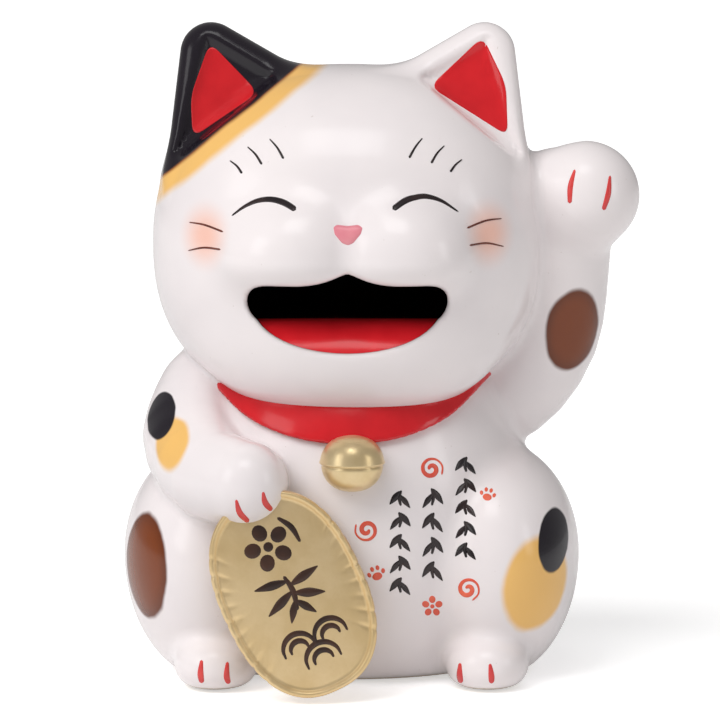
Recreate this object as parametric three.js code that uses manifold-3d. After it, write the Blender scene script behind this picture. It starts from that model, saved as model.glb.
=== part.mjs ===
// Beckoning cat coin bank: a hollow ceramic figure with an open mouth for coins.
// Millimetres, +Z up. The cat faces -Y, so its own left side is +X.
// Every casting is a closed solid of its own; neighbours keep a luting gap.
import * as THREE from 'three';
import { mergeVertices } from 'three/addons/utils/BufferGeometryUtils.js';
import Module from 'manifold-3d';

const wasm = await Module();
wasm.setup();

// ---------- driving dimensions ----------
const WALL = 4; // wall of the hollow castings
const GAP = 0.3; // luting gap between neighbours
const FAR = 200; // reach of cutting blocks
const RINGS = 0.56; // rings of a rounded form for each of its segments

const HEAD = { centre: [0, -7, 114], radii: [51.3, 45, 47.5, 44.5], power: 2.3 };
const MUZZLE = { side: 13.5, y: -46.5, z: 114.5, radii: [17, 12, 10.6] };
const CHIN = { centre: [0.8, -28, 91], radii: [38, 22, 22] };
const MOUTH = { halfWidth: 25.4, peak: 109.4, top: 106.2, corner: 97, bottom: 88.6 };
const MOUTH_FLATS = { from: 12, to: 20 }; // the straight part of the upper lip, each side
const MOUTH_BACK = -22.5; // the coin opening is cut from the front of the face to here
const JAW = { front: -48.3, back: -37.5, lip: 89.2, ledge: 96.6, ledgeDepth: 2.5, fit: 0.97 };
const NECK_BORE = { radius: 19, low: 72, high: 96 };

// height, half width, reach to the front, reach to the back
const TORSO = [
  [0, 41, 30, 36],
  [4, 46, 36, 42],
  [12, 49, 41, 47],
  [27, 50, 46, 50],
  [41.5, 49, 47.5, 49],
  [57, 46.5, 46.5, 46],
  [70, 43, 42, 42],
  [80, 37.5, 35, 36],
  [86, 30, 27, 29],
  [89.5, 19, 17, 18],
];

// centre line points of the arms, each with its radius
const RAISED_ARM = [
  [30, -1, 66, 12],
  [41, -1, 72.3, 13.2],
  [48.3, -2, 79.3, 13.2],
  [53, -3, 89, 13.5],
  [55, -4, 99, 13.2],
  [56, -6, 109.5, 12.9],
  [57.4, -9, 118.3, 12.4],
  [62.6, -14, 126.2, 13.2],
];
const RESTING_ARM = [
  [-29, -2, 74.5, 12.5],
  [-35.5, -6, 74, 13],
  [-39.2, -14, 68, 13],
  [-40.1, -24, 62, 12.8],
  [-35.5, -38, 56.5, 11.5],
  [-26, -47, 55, 11],
];

const SEAT_X = 1; // the seated half sits a little to the cat's left of the face
const HAUNCH = { side: 37, y: -12, z: 31.6, radii: [23.2, 33, 29.4, 34], power: 2 };
const FOOT = { side: 35.2, y: -34.5, z: 6.5, radii: [10.9, 13, 8.1, 8.4], power: 2.1 };
const TAIL = { y: 53, z: 17, radii: [10, 11, 10] };
// the lower edge of the collar climbs from under the chin to the nape
const COLLAR = { frontY: -47, frontZ: 65.8, climb: 0.5, napeZ: 78, thickness: 1.8 };
const BELL = { centre: [1.2, -49, 60.5], radius: 8.2, height: 14.5, crease: 0.7, fullness: 0.8 };
const KOBAN = { x: -13.8, y: -53.8, z: 27.8, halfWidth: 18.5, halfHeight: 26.9, power: 2.4 };
const KOBAN_PLATE = { thickness: 4.4, rim: 2.2, rimHeight: 0.9, tilt: 25, lean: 7 };
const KOBAN_BOSS = { inset: 9, reach: 12 }; // the back of the coin is luted to the belly by it

const EAR = { y: -12, thickness: 14, bevel: 3.5, tipThinning: 0.45, thinFrom: 147, thinOver: 25 };
const EAR_DISH = { depth: 2, behindRim: 1.4 };
// x away from the middle and z of the ear seen from the front
const EAR_OUTLINE = {
  foot: [46.2, 130],
  side: [45.2, 149],
  bend: [44.8, 160],
  tipOutside: [41.8, 166.8],
  tip: [39.2, 171.6],
  tipInside: [34.8, 169.2],
  crown: [13, 157.5],
  root: [22, 130],
};
const DISH_OUTLINE = {
  low: [41, 144.6],
  lowRound: [40.6, 143.2],
  lowInside: [39.2, 144],
  inside: [25, 153.4],
  insideRound: [23.4, 154.6],
  insideHigh: [24.8, 155.6],
  high: [33.8, 162.6],
  highRound: [36, 164.2],
  highOutside: [37.2, 161.6],
  bulge: [40.8, 154],
};

const BASE = { thickness: 5, holeRadius: 14, holeY: 3, recessRadius: 18.5, recessDepth: 3 };
const STOPPER = { flangeRadius: 17.2, bottom: 1.2, flange: 1.5, plugTop: 9.5, taper: 0.7 };
const STOPPER_CUP = { radius: 9.5, floor: 4.5 };

// ---------- materials ----------
function finish(color, roughness, metalness = 0) {
  return new THREE.MeshStandardMaterial({ color, roughness, metalness });
}
const whiteGlaze = finish(0xf2eaea, 0.12);
const blackGlaze = finish(0x2b2230, 0.12);
const redGlaze = finish(0xc4222e, 0.15);
const goldLustre = finish(0xc9a564, 0.32, 0.85);
const bareClay = finish(0xd9cfc0, 0.9);
const rubber = finish(0x38383a, 0.7);

// ---------- solids and meshes ----------
function toSolid(geometry) {
  geometry.deleteAttribute('normal');
  geometry.deleteAttribute('uv');
  const merged = mergeVertices(geometry, 1e-4);
  const vertProperties = new Float32Array(merged.attributes.position.array);
  const triVerts = new Uint32Array(merged.index.array);
  return new wasm.Manifold(new wasm.Mesh({ numProp: 3, vertProperties, triVerts }));
}

function join(first, ...others) {
  return others.reduce((solid, other) => solid.add(other), first);
}

function cut(first, ...others) {
  return others.reduce((solid, other) => solid.subtract(other), first);
}

// A cut can leave crumbs beside the casting: only the casting is kept.
function largest(solid) {
  return solid.decompose().sort((a, b) => b.volume() - a.volume())[0];
}

function namedMesh(name, solid, material) {
  const { vertProperties, triVerts } = solid.getMesh();
  const geometry = new THREE.BufferGeometry();
  geometry.setAttribute('position', new THREE.BufferAttribute(vertProperties, 3));
  geometry.setIndex(new THREE.BufferAttribute(triVerts, 1));
  geometry.computeVertexNormals();
  const mesh = new THREE.Mesh(geometry, material);
  mesh.name = name;
  return mesh;
}

// Moves every vertex of a geometry by a rule.
function reshape(geometry, rule) {
  const position = geometry.attributes.position;
  const point = new THREE.Vector3();
  for (let i = 0; i < position.count; i += 1) {
    rule(point.fromBufferAttribute(position, i));
    position.setXYZ(i, point.x, point.y, point.z);
  }
  return geometry;
}

// ---------- basic forms ----------
// A rounded form between an ellipsoid (power 2) and a box (high power).
function bulb([x, y, z], [rx, ry, up, down = up], { power = 2, grow = 0, segments = 32 } = {}) {
  const ball = new THREE.SphereGeometry(1, segments, Math.round(segments * RINGS));
  ball.rotateX(Math.PI / 2);
  return toSolid(reshape(ball, (p) => {
    const norm = Math.abs(p.x) ** power + Math.abs(p.y) ** power + Math.abs(p.z) ** power;
    p.multiplyScalar(norm ** (-1 / power));
    p.set(x + p.x * (rx + grow), y + p.y * (ry + grow), z + p.z * ((p.z > 0 ? up : down) + grow));
  }));
}

// A round limb along a smooth line, with round ends. ref is a direction it never runs along.
function limb(spine, ref, { grow = 0, segments = 16 } = {}) {
  const curve = new THREE.CatmullRomCurve3(spine.map(([x, y, z]) => new THREE.Vector3(x, y, z)));
  const length = curve.getLength();
  const stations = spine.length - 1;
  const radiusAt = (u) => {
    const t = curve.getUtoTmapping(u) * stations;
    const i = Math.min(Math.floor(t), stations - 1);
    const blend = THREE.MathUtils.smoothstep(t - i, 0, 1);
    return THREE.MathUtils.lerp(spine[i][3], spine[i + 1][3], blend) + grow;
  };
  const capSteps = 4;
  const bodySteps = 10;
  const profile = [];
  for (let i = 0; i < capSteps; i += 1) {
    const angle = (i / capSteps - 1) * (Math.PI / 2);
    profile.push(new THREE.Vector2(Math.cos(angle) * radiusAt(0), Math.sin(angle) * radiusAt(0)));
  }
  for (let i = 0; i <= bodySteps; i += 1) {
    profile.push(new THREE.Vector2(radiusAt(i / bodySteps), (length * i) / bodySteps));
  }
  for (let i = 1; i <= capSteps; i += 1) {
    const angle = (i / capSteps) * (Math.PI / 2);
    const radius = radiusAt(1);
    profile.push(new THREE.Vector2(Math.cos(angle) * radius, length + Math.sin(angle) * radius));
  }
  profile[0].x = 0;
  profile.at(-1).x = 0;
  return toSolid(reshape(new THREE.LatheGeometry(profile, segments), (p) => {
    const u = THREE.MathUtils.clamp(p.y / length, 0, 1);
    const tangent = curve.getTangentAt(u);
    const side = new THREE.Vector3().crossVectors(tangent, ref).normalize();
    const up = new THREE.Vector3().crossVectors(side, tangent);
    const centre = curve.getPointAt(u).addScaledVector(tangent, p.y - u * length);
    const { x, z } = p;
    p.copy(centre).addScaledVector(side, x).addScaledVector(up, z);
  }));
}

// The trunk: an upright stack of rounded sections, wider behind than in front.
function trunk(grow = 0, bottom = 0) {
  const [segments, rings] = [grow < 0 ? 28 : 36, 12];
  const low = TORSO[0][0];
  const high = TORSO.at(-1)[0];
  const lines = [1, 2, 3].map((column) => new THREE.CatmullRomCurve3(
    TORSO.map((station) => new THREE.Vector3(station[0], station[column], 0)),
  ));
  const stack = new THREE.CylinderGeometry(1, 1, 1, segments, rings);
  stack.rotateX(Math.PI / 2);
  return toSolid(reshape(stack, (p) => {
    const t = THREE.MathUtils.clamp(p.z + 0.5, 0, 1);
    const [halfWidth, front, back] = lines.map((line) => line.getPoint(t).y + grow);
    const height = lines[0].getPoint(t).x;
    const depth = p.y < 0 ? front : back;
    const z = low + height + (height > high / 2 ? grow * (height / high) : 0);
    p.set(p.x * halfWidth, p.y * depth, t === 0 ? bottom : z);
  }));
}

// A flat shape in the X-Z plane, pushed from y = front to y = back.
function slab(shape, front, back, options = {}) {
  const depth = back - front;
  const geometry = new THREE.ExtrudeGeometry(shape, {
    depth, bevelEnabled: false, curveSegments: 8, ...options,
  });
  geometry.rotateX(Math.PI / 2);
  geometry.translate(0, back, 0);
  return toSolid(geometry);
}

// A shape in the Y-Z plane, pushed right across the figure.
function acrossX(shape) {
  const geometry = new THREE.ExtrudeGeometry(shape, {
    depth: FAR, bevelEnabled: false, curveSegments: 4,
  });
  geometry.rotateX(Math.PI / 2);
  geometry.rotateZ(Math.PI / 2);
  geometry.translate(-FAR / 2, 0, 0);
  return toSolid(geometry);
}

function block(width, depth, height, x, y, z) {
  const geometry = new THREE.BoxGeometry(width, depth, height);
  geometry.translate(x, y, z);
  return toSolid(geometry);
}

function upright(radius, low, high, y = 0, segments = 36) {
  const geometry = new THREE.CylinderGeometry(radius, radius, high - low, segments);
  geometry.rotateX(Math.PI / 2);
  geometry.translate(0, y, (low + high) / 2);
  return toSolid(geometry);
}

const belowGround = () => block(FAR, FAR, FAR, 0, 0, -FAR / 2);

// ---------- head ----------
function headForm(grow = 0) {
  const head = bulb(HEAD.centre, HEAD.radii, { power: HEAD.power, grow, segments: grow < 0 ? 24 : 36 });
  const lobes = [-1, 1].map((side) => bulb(
    [side * MUZZLE.side, MUZZLE.y, MUZZLE.z],
    MUZZLE.radii,
    { grow, segments: 16 },
  ));
  const chin = bulb(CHIN.centre, CHIN.radii, { grow, segments: 24 });
  return join(head, chin, ...lobes);
}

// A wide laughing mouth: cupid's bow on top, round corners, a deep lower curve.
// scale shrinks it round its own middle.
function mouthShape(scale = 1) {
  const { halfWidth, peak, top, corner, bottom } = MOUTH;
  const middle = (top + bottom) / 2;
  const at = (x, z) => [x * scale, middle + (z - middle) * scale];
  const shape = new THREE.Shape();
  shape.moveTo(...at(0, peak));
  [1, -1].forEach((side) => {
    const curve = (...points) => shape.bezierCurveTo(...points.flatMap(([x, z]) => at(side * x, z)));
    const bow = [[3, peak - 1], [5, top + 0.4], [MOUTH_FLATS.from, top]];
    const rise = [[halfWidth + 1.5, top], [halfWidth + 1, corner + 2.5], [halfWidth - 2.5, corner]];
    const lip = [[19, bottom + 2.5], [9, bottom], [0, bottom]];
    if (side === 1) {
      curve(...bow);
      shape.lineTo(...at(MOUTH_FLATS.to, top));
      curve(...rise);
      curve(...lip);
    } else {
      curve(lip[1], lip[0], rise[2]);
      curve(rise[1], rise[0], [MOUTH_FLATS.to, top]);
      shape.lineTo(...at(-MOUTH_FLATS.from, top));
      curve(bow[1], bow[0], [0, peak]);
    }
  });
  return shape;
}

function neckBore() {
  return upright(NECK_BORE.radius, NECK_BORE.low, NECK_BORE.high);
}

function makeHead() {
  const mouth = slab(mouthShape(), -FAR / 2, MOUTH_BACK);
  return largest(cut(headForm(), headForm(-WALL), trunk(GAP), mouth, neckBore()));
}

// The red slope from the lower lip up to a straight ledge that a coin slides over.
function makeJawTray() {
  const { front, back, lip, ledge, ledgeDepth, fit } = JAW;
  const lowerMouth = slab(mouthShape(fit), front, back + ledgeDepth);
  const side = new THREE.Shape();
  side.moveTo(front, lip - 3);
  side.lineTo(front, lip);
  side.quadraticCurveTo(front + 2, ledge - 3, back, ledge);
  side.lineTo(back + ledgeDepth, ledge);
  side.lineTo(back + ledgeDepth, lip - 3);
  return lowerMouth.intersect(acrossX(side));
}

// ---------- ears ----------
// Steep outside edge, round tip, long slope to the crown.
function earShape(side) {
  const { foot, side: edge, bend, tipOutside, tip, tipInside, crown, root } = EAR_OUTLINE;
  const at = ([x, z]) => [side * x, z];
  const shape = new THREE.Shape();
  shape.moveTo(...at(foot));
  shape.lineTo(...at(edge));
  shape.quadraticCurveTo(...at(bend), ...at(tipOutside));
  shape.quadraticCurveTo(...at(tip), ...at(tipInside));
  shape.lineTo(...at(crown));
  shape.lineTo(...at(root));
  return shape;
}

function dishShape(side) {
  const d = DISH_OUTLINE;
  const at = ([x, z]) => [side * x, z];
  const shape = new THREE.Shape();
  shape.moveTo(...at(d.low));
  shape.quadraticCurveTo(...at(d.lowRound), ...at(d.lowInside));
  shape.lineTo(...at(d.inside));
  shape.quadraticCurveTo(...at(d.insideRound), ...at(d.insideHigh));
  shape.lineTo(...at(d.high));
  shape.quadraticCurveTo(...at(d.highRound), ...at(d.highOutside));
  shape.quadraticCurveTo(...at(d.bulge), ...at(d.low));
  return shape;
}

function earForm(side) {
  const { y, thickness, bevel, tipThinning, thinFrom, thinOver } = EAR;
  const geometry = new THREE.ExtrudeGeometry(earShape(side), {
    depth: thickness - 2 * bevel,
    bevelEnabled: true,
    bevelSize: bevel,
    bevelThickness: bevel,
    bevelOffset: -bevel,
    bevelSegments: 3,
    curveSegments: 5,
  });
  geometry.rotateX(Math.PI / 2);
  geometry.translate(0, thickness / 2 - bevel, 0);
  return toSolid(reshape(geometry, (p) => {
    const rise = THREE.MathUtils.clamp((p.z - thinFrom) / thinOver, 0, 1);
    p.y = y + p.y * (1 - tipThinning * rise);
  }));
}

function makeEar(side) {
  const faceY = EAR.y - EAR.thickness / 2;
  const dish = slab(dishShape(side), -FAR / 2, faceY + EAR_DISH.depth + EAR_DISH.behindRim);
  return largest(cut(earForm(side), headForm(GAP), dish));
}

// ---------- body ----------
function makeTorso() {
  return largest(cut(trunk(), trunk(-WALL, -1), neckBore()));
}

function makeBasePlate() {
  const { thickness, holeRadius, holeY, recessRadius, recessDepth } = BASE;
  const above = block(FAR, FAR, FAR, 0, 0, thickness + FAR / 2);
  const hole = upright(holeRadius, -1, thickness + 1, holeY);
  const recess = upright(recessRadius, -1, recessDepth, holeY);
  return cut(trunk(-WALL - GAP), above, hole, recess);
}

function makeStopper() {
  const { flangeRadius, bottom, flange, plugTop, taper } = STOPPER;
  const plugRadius = BASE.holeRadius - GAP;
  const flangeTop = bottom + flange;
  const profile = [
    [0, bottom],
    [flangeRadius, bottom],
    [flangeRadius, flangeTop],
    [plugRadius, flangeTop],
    [plugRadius - taper, plugTop],
    [STOPPER_CUP.radius, plugTop],
    [STOPPER_CUP.radius, STOPPER_CUP.floor],
    [0, STOPPER_CUP.floor],
  ].map(([radius, z]) => new THREE.Vector2(radius, z));
  const geometry = new THREE.LatheGeometry(profile, 32);
  geometry.rotateX(Math.PI / 2);
  geometry.translate(0, BASE.holeY, 0);
  return toSolid(geometry);
}

function haunchForm(side, grow = 0) {
  const { y, z, radii, power } = HAUNCH;
  const segments = grow < 0 ? 14 : 24;
  return bulb([SEAT_X + side * HAUNCH.side, y, z], radii, { power, grow, segments });
}

function makeHaunch(side) {
  const hollow = haunchForm(side, -WALL);
  return largest(cut(haunchForm(side), hollow, trunk(GAP), belowGround()));
}

function footForm(side, grow = 0) {
  const { y, z, radii, power } = FOOT;
  return bulb([SEAT_X + side * FOOT.side, y, z], radii, { power, grow, segments: 20 });
}

function makeFoot(side) {
  return largest(cut(footForm(side), trunk(GAP), haunchForm(side, GAP), belowGround()));
}

function makeTail() {
  const { y, z, radii } = TAIL;
  return cut(bulb([0, y, z], radii, { segments: 18 }), trunk(GAP), belowGround());
}

// ---------- collar, bell and koban ----------
// A raised band round the neck, cut from the trunk by its climbing lower edge.
function collarForm(grow = 0) {
  const { frontY, frontZ, climb, napeZ, thickness } = COLLAR;
  const napeY = frontY + (napeZ - frontZ) / climb;
  const side = new THREE.Shape();
  side.moveTo(frontY - FAR / 2, frontZ - climb * (FAR / 2) - grow);
  side.lineTo(napeY, napeZ - grow);
  side.lineTo(FAR, napeZ - grow);
  side.lineTo(FAR, FAR);
  side.lineTo(frontY - FAR / 2, FAR);
  return acrossX(side).intersect(trunk(thickness + grow));
}

function makeCollar() {
  return largest(cut(collarForm(), trunk(GAP), headForm(GAP)));
}

// Two caps pressed together: the seam between them is a shallow crease.
function makeBell() {
  const { centre, radius, height, crease, fullness } = BELL;
  const steps = 6;
  const profile = [];
  for (let i = 0; i <= steps * 2; i += 1) {
    const angle = (i / steps - 1) * (Math.PI / 2);
    const pinch = i === steps ? crease : 0;
    profile.push(new THREE.Vector2(
      Math.max(0, Math.cos(angle) ** fullness * radius - pinch),
      Math.sin(angle) * (height / 2),
    ));
  }
  profile.at(-1).x = 0;
  const geometry = new THREE.LatheGeometry(profile, 20);
  geometry.rotateX(Math.PI / 2);
  geometry.translate(...centre);
  return largest(cut(toSolid(geometry), trunk(GAP), collarForm(GAP)));
}

function ovalShape(inset = 0) {
  const { halfWidth, halfHeight, power } = KOBAN;
  const points = [];
  const steps = 44;
  for (let i = 0; i < steps; i += 1) {
    const angle = (i / steps) * Math.PI * 2;
    const [c, s] = [Math.cos(angle), Math.sin(angle)];
    const reach = (Math.abs(c) ** power + Math.abs(s) ** power) ** (-1 / power);
    points.push(new THREE.Vector2(
      c * reach * (halfWidth - inset),
      s * reach * (halfHeight - inset),
    ));
  }
  return new THREE.Shape(points);
}

// The oval coin with its raised rim, tilted sideways and leaning back on the belly.
function kobanForm(grow = 0) {
  const { thickness, rim, rimHeight, tilt, lean } = KOBAN_PLATE;
  const front = -thickness / 2 - grow;
  const plate = slab(ovalShape(-grow), front, thickness / 2 + grow);
  const dish = slab(ovalShape(rim), front - 1, front + rimHeight);
  const boss = slab(ovalShape(KOBAN_BOSS.inset - grow), 0, KOBAN_BOSS.reach);
  return join(grow > 0 ? plate : cut(plate, dish), boss)
    .rotate([0, -tilt, 0])
    .rotate([-lean, 0, 0])
    .translate([KOBAN.x, KOBAN.y, KOBAN.z]);
}

function makeKoban() {
  return largest(cut(
    kobanForm(),
    trunk(GAP),
    haunchForm(-1, GAP),
    footForm(-1, GAP),
    belowGround(),
  ));
}

// ---------- arms ----------
function makeArm(spine, ref, ...neighbours) {
  const hollow = limb(spine, ref, { grow: -WALL, segments: 10 });
  return largest(cut(limb(spine, ref), hollow, trunk(GAP), headForm(GAP), ...neighbours));
}

// ---------- assembly ----------
const ALONG_Y = new THREE.Vector3(0, 1, 0);
const ALONG_Z = new THREE.Vector3(0, 0, 1);
const restingNeighbours = [collarForm(GAP), kobanForm(GAP), haunchForm(-1, GAP)];
const raisedNeighbours = [collarForm(GAP), haunchForm(1, GAP)];

const figure = new THREE.Group();
figure.add(
  namedMesh('torso_shell', makeTorso(), whiteGlaze),
  namedMesh('head_shell', makeHead(), whiteGlaze),
  namedMesh('jaw_tray', makeJawTray(), redGlaze),
  namedMesh('right_ear', makeEar(-1), blackGlaze),
  namedMesh('left_ear', makeEar(1), whiteGlaze),
  namedMesh('raised_arm', makeArm(RAISED_ARM, ALONG_Y, ...raisedNeighbours), whiteGlaze),
  namedMesh('resting_arm', makeArm(RESTING_ARM, ALONG_Z, ...restingNeighbours), whiteGlaze),
  namedMesh('right_haunch', makeHaunch(-1), whiteGlaze),
  namedMesh('left_haunch', makeHaunch(1), whiteGlaze),
  namedMesh('right_foot', makeFoot(-1), whiteGlaze),
  namedMesh('left_foot', makeFoot(1), whiteGlaze),
  namedMesh('tail', makeTail(), whiteGlaze),
  namedMesh('collar', makeCollar(), redGlaze),
  namedMesh('bell', makeBell(), goldLustre),
  namedMesh('koban', makeKoban(), goldLustre),
  namedMesh('base_plate', makeBasePlate(), bareClay),
  namedMesh('stopper', makeStopper(), rubber),
);

// The origin is under the middle of the whole figure, on the surface it stands on.
const box = new THREE.Box3().setFromObject(figure);
const middle = box.getCenter(new THREE.Vector3());
figure.position.set(-middle.x, -middle.y, 0);

export default figure;
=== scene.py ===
# Beckoning cat coin bank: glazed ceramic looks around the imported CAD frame.
# Lengths in the tables below are millimetres from the cat's own centre line; Blender works in metres.
import math

import bpy
import numpy as np
from mathutils import Matrix, Vector


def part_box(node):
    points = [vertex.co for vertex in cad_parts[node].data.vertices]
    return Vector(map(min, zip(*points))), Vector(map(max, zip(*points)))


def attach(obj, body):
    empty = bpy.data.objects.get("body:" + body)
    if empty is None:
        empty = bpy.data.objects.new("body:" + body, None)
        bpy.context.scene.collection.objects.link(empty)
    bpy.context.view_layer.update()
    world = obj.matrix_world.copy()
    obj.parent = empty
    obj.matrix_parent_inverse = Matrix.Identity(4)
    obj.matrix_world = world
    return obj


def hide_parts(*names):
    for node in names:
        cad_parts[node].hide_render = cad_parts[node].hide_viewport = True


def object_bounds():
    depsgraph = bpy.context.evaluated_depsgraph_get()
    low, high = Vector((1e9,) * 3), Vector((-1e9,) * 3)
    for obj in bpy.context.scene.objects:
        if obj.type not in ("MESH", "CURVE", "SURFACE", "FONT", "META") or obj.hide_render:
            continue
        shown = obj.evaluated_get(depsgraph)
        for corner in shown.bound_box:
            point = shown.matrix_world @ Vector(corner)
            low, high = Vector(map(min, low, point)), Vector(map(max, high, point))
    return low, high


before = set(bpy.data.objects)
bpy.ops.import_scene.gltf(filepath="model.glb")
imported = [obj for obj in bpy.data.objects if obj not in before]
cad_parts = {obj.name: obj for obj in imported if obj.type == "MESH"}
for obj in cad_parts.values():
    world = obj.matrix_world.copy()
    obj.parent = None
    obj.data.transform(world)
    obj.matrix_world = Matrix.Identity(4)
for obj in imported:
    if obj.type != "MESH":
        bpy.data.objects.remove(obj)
cad_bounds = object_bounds()

MM = 0.001

# ---------------------------------------------------------------- places read from the frame
head_low, head_high = (np.array(corner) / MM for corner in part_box("head_shell"))
stopper_low, stopper_high = (np.array(corner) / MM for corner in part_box("stopper"))

PLUG_Y = 3.0  # the emptying hole lies this far behind the cat's origin
ORIGIN = np.array([
    (head_low[0] + head_high[0]) / 2,
    (stopper_low[1] + stopper_high[1]) / 2 - PLUG_Y,
    0.0,
])

# ---------------------------------------------------------------- shape of the castings
WALL = 4.0
GROUND_ROUNDING = 2.5

# where the cat is seen and drawn from
CAMERA_DISTANCE = 950.0
CAMERA_HEIGHT_ANGLE = 7.0
VIEW_TARGET = (3.2, 0.0, 81.0)
VIEW_ANGLE = math.radians(CAMERA_HEIGHT_ANGLE)
TO_CAMERA = np.array([0, -math.cos(VIEW_ANGLE), math.sin(VIEW_ANGLE)])
CAMERA_UP = np.array([0, math.sin(VIEW_ANGLE), math.cos(VIEW_ANGLE)])
FIELD_WIDTH = 192.3
SENSOR = 36.0
# sight lines are searched this far before and behind the middle of the cat
IN_FRONT, BEHIND = 80.0, 60.0
SEARCH_ROUNDS = 60

HEAD_CENTRE = (0.0, -7.0, 114.0)
HEAD_RADII = (51.3, 45.0, 46.1, 44.5)
HEAD_POWER = 2.4
HEAD_CROWN_POWER = 2.1
MUZZLE_CENTRE = (13.3, -46.0, 112.6)
MUZZLE_RADII = (17.8, 13.6, 14.5, 9.6)
MUZZLE_BLEND = 7.0
MUZZLE_CLEFT = 4.0
CHIN_CENTRE = (0.8, -28.0, 91.0)
CHIN_RADII = (38.0, 22.0, 22.0)
CHIN_BLEND = 6.0

# height, half width, reach to the front, reach to the back
TORSO_STATIONS = np.array([
    [0, 41, 30, 36],
    [4, 46, 36, 42],
    [12, 49, 41, 47],
    [27, 50, 46, 50],
    [41.5, 49, 47.5, 49],
    [57, 46.5, 46.5, 46],
    [70, 43, 42, 42],
    [80, 37.5, 35, 36],
    [86, 30, 27, 29],
    [89.5, 19, 17, 18],
])

# centre line points of the arms, each with its radius
RAISED_ARM = np.array([
    [30, -1, 66, 12],
    [41, -1, 72.3, 13.2],
    [48.3, -2, 79.3, 13.2],
    [53, -3, 89, 13.5],
    [55, -4, 99, 13.2],
    [56, -6, 109.5, 12.9],
    [57.4, -9, 118.3, 12.4],
    [62.6, -14, 126.2, 13.2],
])
RAISED_PAW = np.array([
    [61.5, -13.5, 126.3, 13.1],
    [53.5, -12, 126.8, 11.4],
])
RESTING_ARM = np.array([
    [-29, -2, 74.5, 12.5],
    [-35.5, -6, 74, 13],
    [-39.2, -14, 68, 13.0],
    [-40.1, -24, 62, 12.8],
    [-35.5, -38, 56.5, 11.5],
    [-26, -47, 55, 11],
])

# the seated half of the figure sits a little to the cat's left of the face
SEAT_X = 1.0
HAUNCH = {"side": 37.0, "y": -12.0, "z": 31.6, "radii": (23.2, 33.0, 29.4, 34.0), "power": 2.0}
FOOT = {"side": 35.2, "y": -34.5, "z": 6.5, "radii": (10.9, 13.0, 8.1, 8.4), "power": 2.1}
TAIL = {"centre": (0.0, 53.0, 17.0), "radii": (10.0, 11.0, 10.0)}

# how far neighbouring forms melt into each other
BLEND = {"seat": 4.0, "tail": 6.0, "resting_arm": 2.5, "raised_arm": 3.0, "raised_paw": 4.0, "rods": 1.5,
         "neck": 2.0, "ear": 4.5, "ear_edge": 5.0, "shoulders": 6.0, "hollow": 8.0, "hollow_arm": 3.0}

# corners of the ear outline before it is rounded, seen from the front
EAR_CORNERS = [(35.7, 163.2), (39.2, 132.5), (11.1, 149.0)]
EAR_ROUNDING = 8.0
EAR = {"y": -13.0, "from_z": 146.0, "lean": 0.12, "base_half": 8.5, "tip_half": 4.5, "height": 25.0}
# the hollow of the ear is carved into ear and head together, up to a straight crease
DISH_CORNERS = [(36.3, 166.6), (44.0, 138.4), (20.6, 157.4)]
DISH = {"rounding": 1.6, "depth": 1.8, "fillet": 5.0, "rim_round": 1.2}
MOUTH = {"half_width": 25.4, "peak": 109.4, "top": 106.2, "corner": 97.0, "bottom": 88.6}
MOUTH_BACK = -24.0  # the mouth is cut from the front as far as this
LIP_ROUNDING = 1.6
JAW = {"ledge_z": 96.6, "ledge_y": -37.5, "behind": 2.5, "set_in": 1.5, "tuck": 0.7, "thick": 1.8,
       "curl": 2.7, "search_y": -62.0}

LABELS = [
    "torso_shell", "head_shell", "right_ear", "left_ear", "raised_arm", "resting_arm",
    "right_haunch", "left_haunch", "right_foot", "left_foot", "tail",
]
GRID_STEP = 1.0


# ---------------------------------------------------------------- distance fields
def unit(vectors):
    return vectors / np.maximum(np.linalg.norm(vectors, axis=-1, keepdims=True), 1e-12)


def smooth_min(a, b, reach):
    """Union of two fields, with a fillet about a quarter of reach deep."""
    overlap = np.maximum(reach - np.abs(a - b), 0) / reach
    return np.minimum(a, b) - overlap * overlap * reach / 4


def smooth_max(a, b, reach):
    return -smooth_min(-a, -b, reach)


def bulb(p, centre, radii, power=2.0, rise_power=None):
    """Distance to a form between an ellipsoid (power 2) and a box (high power)."""
    rx, ry, up = radii[:3]
    down = radii[3] if len(radii) > 3 else up
    q = [p[0] - centre[0], p[1] - centre[1], p[2] - centre[2]]
    reach = [rx, ry, np.where(q[2] > 0, up, down)]
    share = [np.abs(q[i]) / reach[i] for i in range(3)]
    upward = np.where(q[2] > 0, rise_power or power, power)
    total = share[0] ** power + share[1] ** power + share[2] ** upward + 1e-9
    level = total ** (1 / power)
    powers = (power, power, upward)
    slope = sum((share[i] ** (powers[i] - 1) * powers[i] / power / reach[i]) ** 2 for i in range(3)) + 1e-12
    return (level - 1) / (np.sqrt(slope) * level ** (1 - power))


def smooth_path(points, count):
    """Catmull-Rom samples through the points, end points included."""
    padded = np.vstack([2 * points[0] - points[1], points, 2 * points[-1] - points[-2]])
    samples = []
    for u in np.linspace(0, len(points) - 1, count):
        i = min(int(u), len(points) - 2)
        t = u - i
        a, b, c, d = padded[i:i + 4]
        samples.append(0.5 * (2 * b + (c - a) * t + (2 * a - 5 * b + 4 * c - d) * t * t
                              + (3 * b - a - 3 * c + d) * t ** 3))
    return np.array(samples)


def limb(p, path):
    """Distance to a chain of tapering round rods along path, whose rows are x, y, z, radius."""
    nearest = None
    for start, end in zip(path[:-1], path[1:]):
        along = end[:3] - start[:3]
        t = sum((p[i] - start[i]) * along[i] for i in range(3)) / (along @ along)
        t = np.clip(t, 0, 1)
        off = sum((p[i] - start[i] - along[i] * t) ** 2 for i in range(3))
        gap = np.sqrt(off) - (start[3] + (end[3] - start[3]) * t)
        nearest = gap if nearest is None else smooth_min(nearest, gap, BLEND["rods"])
    return nearest


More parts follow.
